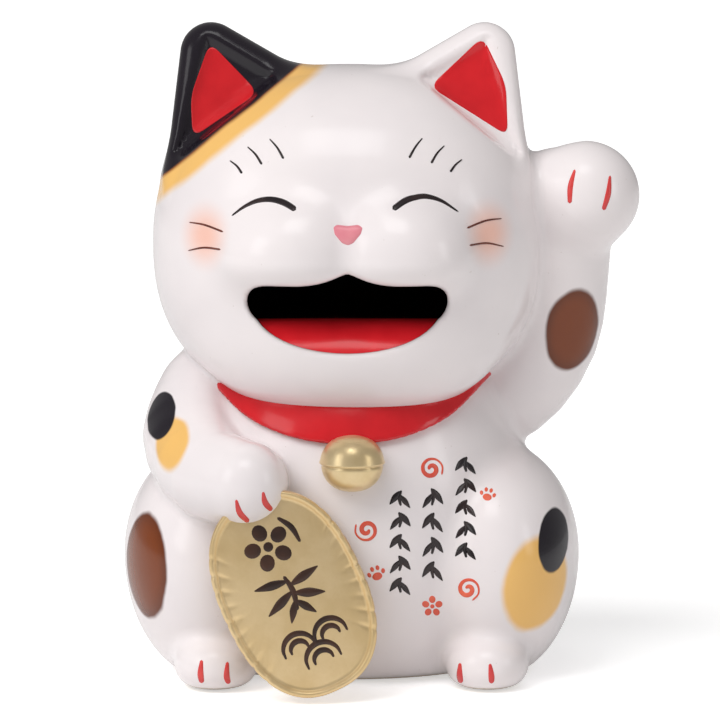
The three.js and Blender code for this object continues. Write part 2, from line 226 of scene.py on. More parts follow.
STATION_Z = np.linspace(-2, TORSO_STATIONS[-1, 0] + 2, 200)
STATION_PATH = smooth_path(TORSO_STATIONS, 120)
STATION_TABLE = np.array([
    np.interp(STATION_Z, STATION_PATH[:, 0], STATION_PATH[:, i]) for i in (1, 2, 3)
])
STATION_SLOPE = np.gradient(STATION_TABLE, STATION_Z, axis=1)


def trunk(p, inset=0.0):
    """Distance to the upright body: stacked ovals, deeper behind than in front."""
    x, y, z = p
    width, front, back = (np.interp(z, STATION_Z, row) - inset for row in STATION_TABLE)
    width_slope, front_slope, back_slope = (np.interp(z, STATION_Z, row) for row in STATION_SLOPE)
    depth = np.where(y < 0, front, back)
    depth_slope = np.where(y < 0, front_slope, back_slope)
    level = np.sqrt((x / width) ** 2 + (y / depth) ** 2) + 1e-6
    by_z = -(x * x * width_slope / width ** 3 + y * y * depth_slope / depth ** 3)
    slope = np.sqrt((x / width ** 2) ** 2 + (y / depth ** 2) ** 2 + by_z ** 2) / level + 1e-9
    side = (level - 1) / np.maximum(slope, 0.35 / np.maximum(width, depth))
    return smooth_max(side, z - (TORSO_STATIONS[-1, 0] - inset), BLEND["shoulders"])


RAISED_PATH = smooth_path(RAISED_ARM, 13)
RESTING_PATH = smooth_path(RESTING_ARM, 12)


def mirrored(side, values):
    return (side * values[0], values[1], values[2])


def bezier(points, count):
    t = np.linspace(0, 1, count)[:, None]
    a, b, c, d = (np.array(point, float) for point in points)
    return a * (1 - t) ** 3 + 3 * b * t * (1 - t) ** 2 + 3 * c * t * t * (1 - t) + d * t ** 3


def mouth_outline():
    """A wide laughing mouth: cupid's bow on top, round corners, a deep lower curve."""
    w, peak, top, corner, bottom = (MOUTH[k] for k in ("half_width", "peak", "top", "corner", "bottom"))
    half = np.vstack([
        bezier([(0, peak), (3, peak - 1), (5, top + 0.4), (12, top)], 8)[:-1],
        bezier([(12, top), (15, top), (18, top), (20, top)], 3)[:-1],
        bezier([(20, top), (w + 1.5, top), (w + 1, corner + 2.5), (w - 2.5, corner)], 10)[:-1],
        bezier([(w - 2.5, corner), (19, bottom + 2.5), (9, bottom), (0, bottom)], 12),
    ])
    return np.vstack([half, half[-2:0:-1] * [-1, 1]])


class OutlineMap:
    """Signed distance to a closed outline in the X-Z plane, negative inside, from a lookup grid."""

    STEP = 0.25

    def __init__(self, outline, margin):
        outline = np.asarray(outline, float)
        low, high = outline.min(0) - margin, outline.max(0) + margin
        self.low = low
        axes = [np.arange(low[i], high[i], self.STEP) for i in range(2)]
        x, z = np.meshgrid(*axes, indexing="ij")
        best = np.full(x.shape, 1e9)
        inside = np.zeros(x.shape, bool)
        for (x0, z0), (x1, z1) in zip(outline, np.roll(outline, -1, axis=0)):
            dx, dz = x1 - x0, z1 - z0
            t = np.clip(((x - x0) * dx + (z - z0) * dz) / (dx * dx + dz * dz), 0, 1)
            best = np.minimum(best, (x - x0 - dx * t) ** 2 + (z - z0 - dz * t) ** 2)
            if z0 != z1:
                inside ^= ((z0 > z) != (z1 > z)) & (x < x0 + (z - z0) * dx / dz)
        self.grid = np.where(inside, -1, 1) * np.sqrt(best)

    def distance(self, x, z):
        i, s = self.place(x, 0)
        j, t = self.place(z, 1)
        near = self.grid[i, j] * (1 - s) + self.grid[i + 1, j] * s
        far = self.grid[i, j + 1] * (1 - s) + self.grid[i + 1, j + 1] * s
        return near * (1 - t) + far * t

    def place(self, value, axis):
        u = np.clip((value - self.low[axis]) / self.STEP, 0, self.grid.shape[axis] - 1.001)
        whole = u.astype(int)
        return whole, u - whole


MOUTH_MAP = OutlineMap(mouth_outline(), 12.0)
EAR_MAP = OutlineMap(EAR_CORNERS, 20.0)
DISH_MAP = OutlineMap(DISH_CORNERS, 20.0)


def ear_slab(p):
    """Half the thickness of an ear at the height of p, and how far p lies behind its middle."""
    up = p[2] - EAR["from_z"]
    rise = np.clip(up / EAR["height"], -0.5, 1)
    half = EAR["base_half"] + (EAR["tip_half"] - EAR["base_half"]) * rise
    return half, p[1] - EAR["y"] - EAR["lean"] * up


def ear(p, side):
    """A broad triangular ear: steep outside edge, long slope to the crown."""
    outline = EAR_MAP.distance(p[0] * side, p[2]) - EAR_ROUNDING
    half, behind = ear_slab(p)
    return smooth_max(outline, np.abs(behind) - half, BLEND["ear_edge"])


def ear_hollow(p, side):
    """What is scooped out of the front of an ear."""
    inside = DISH_MAP.distance(p[0] * side, p[2]) - DISH["rounding"]
    half, behind = ear_slab(p)
    return smooth_max(inside, behind + half - DISH["depth"], DISH["fillet"])


def face(p):
    """Head with its two muzzle cushions, before the mouth is cut."""
    head = bulb(p, HEAD_CENTRE, HEAD_RADII, HEAD_POWER, HEAD_CROWN_POWER)
    head = smooth_min(head, bulb(p, CHIN_CENTRE, CHIN_RADII), CHIN_BLEND)
    lobes = [bulb(p, mirrored(side, MUZZLE_CENTRE), MUZZLE_RADII) for side in (-1, 1)]
    return smooth_min(head, smooth_min(*lobes, MUZZLE_CLEFT), MUZZLE_BLEND)


def two_of(p, form):
    """The right and the left one of a form that sits on both sides of the cat."""
    return [
        bulb(p, (SEAT_X + side * form["side"], form["y"], form["z"]), form["radii"], form["power"])
        for side in (-1, 1)
    ]


def parts_field(p):
    """Distance to each casting before they melt together, in the order of LABELS."""
    raised = smooth_min(limb(p, RAISED_PATH), limb(p, RAISED_PAW), BLEND["raised_paw"])
    return [
        trunk(p), face(p), ear(p, -1), ear(p, 1), raised, limb(p, RESTING_PATH),
        *two_of(p, HAUNCH), *two_of(p, FOOT), bulb(p, TAIL["centre"], TAIL["radii"]),
    ]


def skin(p, parts):
    """The glazed outside: castings melted together, the ears hollowed, the foot cut level."""
    body, head, right_ear, left_ear, raised, resting, *seat, tail = parts
    for part in seat:
        body = smooth_min(body, part, BLEND["seat"])
    body = smooth_min(body, tail, BLEND["tail"])
    body = smooth_min(body, resting, BLEND["resting_arm"])
    for point in (right_ear, left_ear):
        head = smooth_min(head, point, BLEND["ear"])
    for side in (-1, 1):
        head = smooth_max(head, -ear_hollow(p, side), DISH["rim_round"])
    figure = smooth_min(smooth_min(body, head, BLEND["neck"]), raised, BLEND["raised_arm"])
    return smooth_max(figure, -p[2], GROUND_ROUNDING)


def outside_field(points):
    """Distance to the glazed skin at an array of points, as if the mouth were closed."""
    p = list(points.T)
    return skin(p, parts_field(p))


def solid_field(p):
    """Signed distance to the fired clay as a whole, and the list of casting distances."""
    parts = parts_field(p)
    torso, raised, resting = parts[0], parts[4], parts[5]
    inner_head = bulb(p, HEAD_CENTRE, [r - WALL for r in HEAD_RADII], HEAD_POWER, HEAD_CROWN_POWER)
    hollow = smooth_min(inner_head, torso + WALL, BLEND["hollow"])
    for arm in (raised, resting):
        hollow = smooth_min(hollow, arm + WALL, BLEND["hollow_arm"])
    clay = np.maximum(skin(p, parts), -hollow)
    mouth = np.maximum(MOUTH_MAP.distance(p[0], p[2]), p[1] - MOUTH_BACK)
    return smooth_max(clay, -mouth, LIP_ROUNDING), parts


def clay_field(points):
    return solid_field(list(points.T))[0]


def slope_of(field, points, step=0.02):
    """Gradient of a field at points; a field of several rows gives several rows."""
    slopes = []
    for axis in range(3):
        ahead, behind = points.copy(), points.copy()
        ahead[:, axis] += step
        behind[:, axis] -= step
        slopes.append((field(ahead) - field(behind)) / (2 * step))
    return np.stack(slopes, axis=-1)


# ---------------------------------------------------------------- meshing
SLAB = 16  # grid rows worked out at a time
SMOOTHING = 0.6  # share of the way a point moves to the mean of its neighbours


def labelled_grid():
    """Samples the field on a grid: 0 is air, and 1 + i is casting i."""
    margin = 3 * GRID_STEP
    low = np.array(cad_bounds[0]) / MM - ORIGIN - margin
    high = np.array(cad_bounds[1]) / MM - ORIGIN + margin
    axes = [np.arange(low[i], high[i] + GRID_STEP, GRID_STEP, dtype=np.float32) for i in range(3)]
    label = np.zeros([len(axis) for axis in axes], np.uint8)
    for start in range(0, len(axes[0]), SLAB):
        rows = axes[0][start:start + SLAB]
        p = np.meshgrid(rows, axes[1], axes[2], indexing="ij")
        solid, parts = solid_field([c.astype(np.float32) for c in p])
        owner = np.argmin(np.array(parts), axis=0) + 1
        label[start:start + SLAB] = np.where(solid < 0, owner, 0)
    return axes, label


def faces_between_labels(label):
    """Quads round every grid edge whose ends differ: (owner, air beyond, four cell indices)."""
    shape = np.array(label.shape)
    strides = np.array([shape[1] * shape[2], shape[2], 1])
    found = []
    for axis in range(3):
        u, v = (axis + 1) % 3, (axis + 2) % 3
        near = [slice(1, -1)] * 3
        far = [slice(1, -1)] * 3
        near[axis], far[axis] = slice(0, -1), slice(1, None)
        a, b = label[tuple(near)], label[tuple(far)]
        where = np.argwhere(a != b)
        low, high = a[tuple(where.T)], b[tuple(where.T)]
        cell = where.copy()
        cell[:, [u, v]] += 1
        base = cell @ strides
        back_u, back_v = base - strides[u], base - strides[v]
        corners = np.stack([back_u - strides[v], back_v, base, back_u], axis=1)
        for owner, beyond, order in ((low, high, [0, 1, 2, 3]), (high, low, [3, 2, 1, 0])):
            keep = owner > 0
            found.append((owner[keep], beyond[keep] == 0, corners[keep][:, order]))
    return [np.concatenate(column) for column in zip(*found)]


def renumbered(quads):
    """The indices that quads use, and the same quads counted in those."""
    used, local = np.unique(quads, return_inverse=True)
    return used, local.reshape(-1, 4)


def middles(used, axes, step):
    """Row, column and layer of the cells used, and the points in their middles."""
    cell = np.stack(np.unravel_index(used, [len(axis) for axis in axes]), axis=1)
    return cell, np.stack([axes[i][cell[:, i]] + step / 2 for i in range(3)], axis=1).astype(float)


def shortened(move, reach):
    """Moves cut down to no more than reach."""
    length = np.linalg.norm(move, axis=1, keepdims=True)
    return move * np.minimum(1, reach / np.maximum(length, 1e-9))


def settle(field, points, cell, rounds=1):
    """Newton steps onto the zero level of a field, each shorter than a cell."""
    for _ in range(rounds):
        slope = slope_of(field, points)
        size = np.maximum((slope ** 2).sum(1), 0.05)
        points = points + shortened(-(field(points) / size)[:, None] * slope, 0.7 * cell)
    return points


def settle_on_seam(points, first, second, rounds=3):
    """Moves points onto the surface and, at the same time, onto the seam of two castings."""
    pick = np.arange(len(points))

    def clay_and_seam(at):
        solid, parts = solid_field(list(at.T))
        parts = np.array(parts)
        return np.stack([solid, parts[first, pick] - parts[second, pick]])

    for _ in range(rounds):
        solid, across = clay_and_seam(points)
        slope, across_slope = slope_of(clay_and_seam, points)
        aa = (slope ** 2).sum(1) + 1e-3
        bb = (across_slope ** 2).sum(1) + 1e-3
        ab = (slope * across_slope).sum(1)
        det = np.maximum(aa * bb - ab * ab, 0.02)
        k1 = (bb * solid - ab * across) / det
        k2 = (aa * across - ab * solid) / det
        move = -(k1[:, None] * slope + k2[:, None] * across_slope)
        points = points + shortened(move, 0.5 * GRID_STEP)
    return points


def neighbour_means(points, quads):
    total = np.zeros_like(points)
    count = np.zeros(len(points))
    for a, b in ((0, 1), (1, 2), (2, 3), (3, 0)):
        for start, end in ((a, b), (b, a)):
            np.add.at(total, quads[:, start], points[quads[:, end]])
            np.add.at(count, quads[:, start], 1)
    return total / np.maximum(count, 1)[:, None]


def mesh_castings():
    """All castings as closed meshes that share their seam points exactly."""
    axes, label = labelled_grid()
    owner, open_air, corners = faces_between_labels(label)
    used, quads = renumbered(corners)
    cell, points = middles(used, axes, GRID_STEP)

    flags = np.zeros(len(used), np.int64)
    for offset in np.ndindex(2, 2, 2):
        at = cell + np.array(offset)
        flags |= 1 << label[tuple(at.T)].astype(np.int64)
    touches_air = (flags & 1) > 0
    castings = np.array([bin(value >> 1).count("1") for value in flags])
    plain = touches_air & (castings == 1)
    seam = touches_air & (castings == 2)

    points[touches_air] = settle(clay_field, points[touches_air], GRID_STEP, 2)
    bits = (flags[seam, None] >> np.arange(1, len(LABELS) + 1)) & 1
    first = bits.argmax(1)
    second = len(LABELS) - 1 - bits[:, ::-1].argmax(1)
    points[seam] = settle_on_seam(points[seam], first, second)
    air_quads = quads[open_air]
    for _ in range(3):
        means = neighbour_means(points, air_quads)
        points[plain] += SMOOTHING * (means[plain] - points[plain])
        points[plain] = settle(clay_field, points[plain], GRID_STEP)
    points[plain] = settle(clay_field, points[plain], GRID_STEP, 2)
    hidden = ~touches_air
    for _ in range(4):
        points[hidden] = neighbour_means(points, quads[~open_air])[hidden]
    return owner, open_air, quads, points, unit(slope_of(clay_field, points))


def add_object(name, data):
    item = bpy.data.objects.new(name, data)
    bpy.context.scene.collection.objects.link(item)
    return item


def add_mesh(name, points, faces, smooth=True):
    mesh = bpy.data.meshes.new(name)
    mesh.from_pydata([tuple(point) for point in points], [], [tuple(face) for face in faces])
    mesh.validate()
    if smooth:
        mesh.shade_smooth()
    return add_object(name, mesh)


def to_metres(points):
    return (np.asarray(points) + ORIGIN) * MM


def flat_normals(points, faces):
    a, b, c, d = (points[faces[:, i]] for i in range(4))
    return unit(np.cross(c - a, d - b))


def build_castings():
    owner, open_air, quads, points, normals = mesh_castings()
    under_skin = -outside_field(points)
    pieces = {}
    for index, name in enumerate(LABELS):
        mine = owner == index + 1
        faces = quads[mine]
        used, local = renumbered(faces)
        piece = add_mesh("glazed_" + name, to_metres(points[used]), local)
        depth = piece.data.attributes.new("under_skin", "FLOAT", "POINT")
        depth.data.foreach_set("value", under_skin[used].astype(np.float32))
        loops = normals[faces]
        flat = flat_normals(points, faces)
        walls = ~open_air[mine]
        loops[walls] = flat[walls][:, None, :]
        piece.data.normals_split_custom_set(loops.reshape(-1, 3))
        pieces[name] = piece
    return pieces


def mesh_field(name, field, low, high, step):
    """The closed zero surface of a field inside a box, as one smooth piece."""
    axes = [np.arange(low[i], high[i] + step, step) for i in range(3)]
    p = np.stack(np.meshgrid(*axes, indexing="ij"), axis=-1)
    inside = (field(p.reshape(-1, 3)) < 0).reshape(p.shape[:3]).astype(np.uint8)
    used, quads = renumbered(faces_between_labels(inside)[2])
    points = middles(used, axes, step)[1]
    for turn in range(7):
        if turn in (2, 4):
            points += SMOOTHING * (neighbour_means(points, quads) - points)
        points = settle(field, points, step)
    piece = add_mesh(name, to_metres(points), quads)
    normals = unit(slope_of(field, points))
    piece.data.normals_split_custom_set(normals[quads].reshape(-1, 3))
    return piece


# ---------------------------------------------------------------- brushwork laid on a surface
# A shape is drawn flat, across and up in millimetres, as (points, heights, faces, rim).
PAINT = 0.14  # height of a stroke at its middle
LIFT = 0.02  # its rim stands this far off the surface
SINK = 0.35  # and its underside lies this far under it
LIFTS = {"red_ear_hollows": 0.1}  # keeps clear of the crease round the hollow


def grid_faces(index):
    """Quads over a grid of point indices."""
    return [
        (index[i, j], index[i + 1, j], index[i + 1, j + 1], index[i, j + 1])
        for i in range(index.shape[0] - 1) for j in range(index.shape[1] - 1)
    ]


def border(index):
    """The indices round the edge of such a grid, in the turn of its quads."""
    return [*index[::-1, -1], *index[0, -2::-1], *index[1:, 0], *index[-1, 1:-1]]


def walls_below(loop, drop):
    """Side walls from a loop of points to their copies, drop places later in the list."""
    return [(b, a, a + drop, b + drop) for a, b in zip(loop, loop[1:] + loop[:1])]


def stroke(path, weight=PAINT, samples=None):
    """A brush stroke along path, whose rows are across, up and width, with round ends."""
    path = np.array(path, float)
    samples = samples or 8 * len(path)
    line = smooth_path(path, samples)
    centre, width = line[:, :2], np.abs(line[:, 2])
    run = np.concatenate([[0], np.cumsum(np.linalg.norm(np.diff(centre, axis=0), axis=1))])
    to_end = np.minimum(run, run[-1] - run)
    half = width / 2
    half = half * np.sqrt(1 - np.clip(1 - to_end / np.maximum(half, 1e-6), 0, 0.999) ** 2)
    heading = unit(np.gradient(centre, axis=0))
    side = np.stack([-heading[:, 1], heading[:, 0]], axis=1)
    steps = np.array([-1, -0.6, 0, 0.6, 1])
    grid = centre[:, None] + side[:, None] * (half[:, None] * steps)[..., None]
    rise = weight * (1 - steps ** 2) * np.ones((samples, 1))
    rise[[0, -1]] = 0
    index = np.arange(samples * len(steps)).reshape(samples, -1)
    return grid.reshape(-1, 2), rise.reshape(-1), grid_faces(index), border(index)


def blob(outline, weight=PAINT):
    """A filled shape round its middle, domed by weight. The outline runs anticlockwise."""
    outline = np.array(outline, float)
    middle = outline.mean(0)
    levels = (0.3, 0.55, 0.75, 0.88, 0.96, 1.0)
    count = len(outline)
    points = np.vstack([middle[None], *[middle + (outline - middle) * level for level in levels]])
    rise = np.concatenate([[weight], *[np.full(count, weight * (1 - level ** 4)) for level in levels]])
    ring = [np.arange(count) + 1 + i * count for i in range(len(levels))]
    ahead = [np.roll(r, -1) for r in ring]
    faces = [(0, ring[0][i], ahead[0][i]) for i in range(count)]
    for inner, inner_ahead, outer, outer_ahead in zip(ring, ahead, ring[1:], ahead[1:]):
        faces += [(inner[i], outer[i], outer_ahead[i], inner_ahead[i]) for i in range(count)]
    return points, rise, faces, list(ring[-1])


def placed(centre, across, up, tilt):
    """Across and up, turned by tilt degrees and set down at centre."""
    c, s = math.cos(math.radians(tilt)), math.sin(math.radians(tilt))
    return np.stack([centre[0] + c * across - s * up, centre[1] + s * across + c * up], axis=-1)


def oval(centre, across, up, tilt=0.0, count=20):
    t = np.arange(count) / count * 2 * math.pi
    return placed(centre, across * np.cos(t), up * np.sin(t), tilt)


def rounded_outline(corners, rounding, count=6):
    """A closed outline through the corners, each rounded by a quadratic arc."""
    corners = [np.array(corner, float) for corner in corners]
    t = np.linspace(0, 1, count)[:, None]
    rows = []
    for before, at, after in zip(corners[-1:] + corners[:-1], corners, corners[1:] + corners[:1]):
        a = at + unit(before - at) * rounding
        b = at + unit(after - at) * rounding
        rows.append(a * (1 - t) ** 2 + 2 * at * t * (1 - t) + b * t ** 2)
    dense = []
    loop = np.vstack(rows)
    for start, end in zip(loop, np.roll(loop, -1, axis=0)):
        steps = max(1, int(np.linalg.norm(end - start) / 1.2))
        dense += [start + (end - start) * k / steps for k in range(steps)]
    return np.array(dense)


def sight_lines(sheet):
    """Lines from the front viewpoint through an upright sheet at the middle of the cat."""
    target = np.array(VIEW_TARGET)
    start = target + TO_CAMERA * CAMERA_DISTANCE
    offset = sheet - target[[0, 2]]
    through = target + offset[:, :1] * np.array([1, 0, 0]) + offset[:, 1:] * CAMERA_UP
    return start, unit(through - start)


def on_skin(sheet):
    """Points of the glaze behind points of the drawing sheet, and the normals there."""
    start, along = sight_lines(np.asarray(sheet, float))
    reach = np.full(len(along), CAMERA_DISTANCE - IN_FRONT)
    for _ in range(SEARCH_ROUNDS):
        gap = outside_field(start + along * reach[:, None])
        reach = np.minimum(reach + np.clip(gap * 0.8, -2, 8), CAMERA_DISTANCE + BEHIND)
    points = start + along * reach[:, None]
    return points, unit(slope_of(outside_field, points))


def lay_on(name, shapes, carry, lift=LIFT):
    """One piece of thin closed solids, each drawn shape carried onto a surface."""
    points, normals = carry(np.vstack([shape[0] for shape in shapes]))
    vertices, faces = [], []
    start = 0
    for drawn, rise, shape_faces, rim in shapes:
        count, base = len(drawn), 2 * start
        at, out = points[start:start + count], normals[start:start + count]
        vertices += [at + out * (lift + rise)[:, None], at - out * SINK]
        for face in shape_faces:
            faces.append(tuple(base + k for k in face))
            faces.append(tuple(base + count + k for k in face[::-1]))
        faces += walls_below([base + k for k in rim], count)
        start += count
    return add_mesh(name, to_metres(np.vstack(vertices)), faces)


# ---------------------------------------------------------------- what is drawn where
EYES = [
    [(-31.1, 119.5, 0.4), (-27.8, 121.9, 0.85), (-24.3, 123.5, 1.25), (-20.6, 123.9, 1.54),
     (-17.1, 123.0, 1.71), (-13.9, 121.1, 1.54)],
    [(11.9, 121.2, 1.54), (15.2, 123.5, 1.71), (17.9, 124.4, 1.54), (20.9, 124.7, 1.37),
     (25.0, 123.5, 0.91), (29.6, 120.5, 0.4)],
]
BROWS = [
    [(-31.6, 134.3, 0.34), (-29.7, 132.8, 0.57), (-28.3, 130.8, 0.69)],
    [(-26.9, 138.0, 0.34), (-24.7, 135.9, 0.57), (-23.0, 133.2, 0.69)],
    [(-21.0, 140.1, 0.34), (-18.9, 137.7, 0.57), (-17.2, 134.7, 0.69)],
    [(19.9, 140.3, 0.34), (18.0, 137.9, 0.57), (16.3, 134.9, 0.69)],
    [(25.8, 138.3, 0.34), (23.8, 136.2, 0.57), (22.2, 133.5, 0.69)],
    [(30.5, 134.6, 0.34), (28.7, 133.1, 0.57), (27.3, 131.2, 0.69)],
]
WHISKERS = [
    [(-42.5, 117.8, 0.3), (-38.4, 117.1, 0.55), (-33.3, 115.2, 0.55)],
    [(-42.8, 110.2, 0.3), (-38.5, 111.0, 0.55), (-34.0, 110.5, 0.55)],
    [(41.1, 118.8, 0.3), (36.8, 118.2, 0.55), (31.7, 116.2, 0.55)],
    [(41.7, 111.3, 0.3), (37.1, 112.2, 0.55), (32.4, 111.6, 0.55)],
]
NOSE = [(-3.9, 116.5), (-3.6, 114.6), (-1.6, 112.2), (0, 111.6), (1.4, 112.2), (3.4, 114.6),
        (3.9, 116.3), (2.8, 117.1), (0, 116.8), (-3.0, 117.1)]
CLAWS = [
    [(60.6, 131.9, 0.62), (59.4, 127.4, 1.45), (59.2, 122.8, 1.1)],
    [(70.0, 130.3, 0.62), (69.5, 125.4, 1.45), (68.2, 121.0, 1.1)],
    [(-29.9, 43.7, 0.62), (-28.9, 40.2, 1.62), (-26.5, 37.7, 1.25)],
    [(-22.7, 45.8, 0.62), (-22.1, 42.9, 1.62), (-20.3, 40.8, 1.25)],
    [(-39.1, 0.9, 0.75), (-39.4, -2.8, 1.62), (-39.0, -5.3, 1.25)],
    [(-32.2, 0.4, 0.75), (-32.4, -3.4, 1.62), (-31.8, -5.5, 1.25)],
    [(29.9, 0.1, 0.75), (29.8, -3.2, 1.62), (30.2, -5.3, 1.25)],
    [(37.9, -0.1, 0.75), (38.3, -3.4, 1.62), (38.3, -5.4, 1.25)],
]
EAR_REDS = [
    ([(-36.9, 165.9), (-42.0, 151.5), (-41.5, 140.4), (-23.9, 152.4)], 3.4),
    ([(36.0, 167.4), (21.8, 154.0), (42.7, 140.8), (42.2, 154.5)], 3.2),
]


def spiral(centre, size, tilt):
    """A curl drawn from its middle outwards."""
    rows = []
    for t in np.linspace(0, 1, 14):
        width = 0.5 + 0.75 * math.sin(math.pi * min(1, t + 0.12))
        rows.append((*placed(centre, size * (0.1 + 0.9 * t), 0, tilt - 590 * t), width))
    return stroke(rows, samples=70)


def paw_print(centre, size, tilt):
    """A pad with four toes over it."""
    shapes = [blob(oval(placed(centre, 0, -0.3 * size, tilt), 0.58 * size, 0.44 * size, tilt))]
    for x, z in ((-0.82, 0.1), (-0.32, 0.62), (0.32, 0.62), (0.82, 0.1)):
        toe = placed(centre, x * size, z * size, tilt)
        shapes.append(blob(oval(toe, 0.22 * size, 0.29 * size, tilt - 20 * x, 14)))
    return shapes


def leaf(start, end, width):
    """A pointed leaf made with one press of the brush."""
    (x0, z0), (x1, z1) = start, end
    rows = [(x0 + (x1 - x0) * t, z0 + (z1 - z0) * t, w * width)
            for t, w in ((0, 0.25), (0.25, 0.8), (0.5, 1.0), (0.78, 0.6), (1, 0.12))]
    return stroke(rows)


def twig(x, top, bottom, count, lean):
    """An upright sprig of bamboo: pairs of leaves hanging from a stem."""
    shapes = []
    step = (top - bottom) / count
    for i in range(count):
        z = top - i * step
        way = 1 if (i + lean) % 2 else -1
        shapes.append(stroke([(x - 0.3 * way, z, 0.6), (x + 0.2 * way, z - step * 0.35, 0.95),
                              (x - 0.2 * way, z - step * 0.72, 0.6)]))
        shapes.append(leaf((x, z - 0.2), (x + way * 2.8, z - step * 0.66), 1.7))
        shapes.append(leaf((x, z - step * 0.22), (x - way * 2.7, z - step * 0.82), 1.5))
    return shapes


def blossom(centre, size, tilt=0.0):
    """Five round petals about a middle dot."""
    shapes = [blob(oval(centre, 0.2 * size, 0.2 * size, 0, 12))]
    for i in range(5):
        turn = tilt + 90 + 72 * i
        petal = placed(centre, 0.64 * size, 0, turn)
        shapes.append(blob(oval(petal, 0.34 * size, 0.3 * size, turn, 16)))
    return shapes


BELLY_TWIGS = [(31.4, 55.2, 26.6, 5, 0), (22.6, 46.8, 20.8, 4, 1), (13.9, 46.2, 17.2, 5, 0)]
BELLY_SPIRALS = [((22.2, 51.9), 3.3, 200), ((5.0, 35.6), 3.3, 20), ((32.0, 19.8), 3.3, 160)]
BELLY_PAWS = [((37.3, 45.0), 2.1, -12), ((7.6, 23.9), 2.35, 18)]
BELLY_BLOSSOM = ((22.5, 15.2), 2.9)


# ---------------------------------------------------------------- red slope in the mouth
def mouth_floor(x):
    """Height of the lower edge of the mouth at x."""
    outline = mouth_outline()
    lower = outline[(outline[:, 1] <= MOUTH["corner"] + 2.5) & (outline[:, 0] >= 0)]
    order = np.argsort(lower[:, 0])
    return np.interp(np.abs(x), lower[order, 0], lower[order, 1])


def build_jaw():
    """From the lower lip the red glaze climbs back to a straight ledge that coins slide over."""
    x = np.linspace(-1, 1, 61) * (MOUTH["half_width"] + JAW["tuck"])
    low = np.minimum(mouth_floor(x), JAW["ledge_z"]) - JAW["tuck"]
    front = np.full(len(x), JAW["search_y"])
    for _ in range(SEARCH_ROUNDS):
        gap = outside_field(np.stack([x, front, low + JAW["tuck"]], axis=1)) + JAW["set_in"]
        front += np.clip(gap, -2, 2) * 0.8
    front = np.minimum(front, JAW["ledge_y"] - 0.3)
    run = np.array([0, 0.03, 0.07, 0.12, 0.18, 0.26, 0.36, 0.5, 0.66, 0.84, 1.0])
    climb = 1 - (1 - run) ** JAW["curl"]
    top = np.stack([
        np.repeat(x[:, None], len(run) + 1, axis=1),
        np.hstack([front[:, None] + (JAW["ledge_y"] - front)[:, None] * run,
                   np.full((len(x), 1), JAW["ledge_y"] + JAW["behind"])]),
        np.hstack([low[:, None] + (JAW["ledge_z"] - low)[:, None] * climb,
                   np.full((len(x), 1), JAW["ledge_z"])]),
    ], axis=-1)
    top[:, -2, 2] -= 0.25
    bottom = top.copy()
    bottom[:, :, 2] = np.minimum(top[:, :, 2], low[:, None] + 0.6) - JAW["thick"]
    count = top.size // 3
    index = np.arange(count).reshape(top.shape[:2])
    faces = []
    for face in grid_faces(index):
        faces += [face, tuple(k + count for k in face[::-1])]
    faces += walls_below(border(index), count)
    points = np.vstack([top.reshape(-1, 3), bottom.reshape(-1, 3)])
    return add_mesh("glazed_jaw_slope", to_metres(points), faces)


# ---------------------------------------------------------------- collar, bell, coin and plug
COLLAR = {"front_y": -47.0, "front_z": 63.8, "climb": 0.53, "nape_z": 78.5, "thickness": 1.9, "buried": 1.5}
COLLAR_BOX = ((-48, -51, 61), (48, 46, 94))
COLLAR_STEP = 0.8


def collar_field(points):
    """A raised band round the neck: low under the chin, climbing to the nape."""
    p = list(points.T)
    climb = COLLAR["front_z"] + COLLAR["climb"] * (p[1] - COLLAR["front_y"])
    lower_edge = smooth_min(climb, COLLAR["nape_z"] + 0 * climb, 6.0)
    body = trunk(p)
    band = smooth_max(body - COLLAR["thickness"], (lower_edge - p[2]) * 0.9, 1.8)
    return smooth_max(band, -(body + COLLAR["buried"]), 0.6)


def ring_faces(count, rings):
    """Faces over rings of count points each, with one point before them and one after."""
    faces = []
    last = 1 + (rings - 1) * count
    for i in range(count):
        j = (i + 1) % count
        faces.append((0, 1 + j, 1 + i))
        for a in range(1, last, count):
            faces.append((a + i, a + j, a + count + j, a + count + i))
        faces.append((last + i, last + j, last + count))
    return faces


def turned(name, profile, centre, count=96):
    """A closed turned form from (radius, height) pairs, both ends on the axis."""
    turn = np.arange(count) / count * 2 * math.pi
    points = [[0, 0, profile[0][1]]]
    for radius, height in profile[1:-1]:
        points += [[radius * math.cos(t), radius * math.sin(t), height] for t in turn]
    points.append([0, 0, profile[-1][1]])
    faces = ring_faces(count, len(profile) - 2)
    return add_mesh(name, to_metres(np.array(points) + np.array(centre)), faces)


BELL = {"centre": (1.2, -49.0, 60.5), "rise": 7.1}


def bell_profile():
    """Two pressed caps, the upper one lipped over the lower, with a step round the crown."""
    def cap(start, end, count, radius, power, lift):
        turns = np.radians(np.linspace(start, end, count))
        return list(zip(radius * np.cos(turns) ** power, BELL["rise"] * np.sin(turns) + lift))

    return [
        (0, -7.1), *cap(-84, -6, 15, 7.9, 0.85, 0), (7.7, -0.45), (7.6, -0.25), (7.65, -0.05),
        (8.2, 0.05), (8.4, 0.3), (8.3, 0.6), *cap(9, 54, 9, 8.2, 0.85, 0.1), (5.15, 5.9), (4.9, 5.8),
        (4.7, 6.0), (4.3, 6.35), *cap(68, 86, 4, 8.0, 0.9, 0.1), (0, 7.2),
    ]


KOBAN = {"centre": (-13.8, -53.8, 27.8), "across": 18.5, "up": 26.9, "power": 2.4,
         "half_thick": 2.2, "tilt": 25.0, "lean": 7.0, "rim": 1.9, "dish": 0.8, "crown": 0.8}
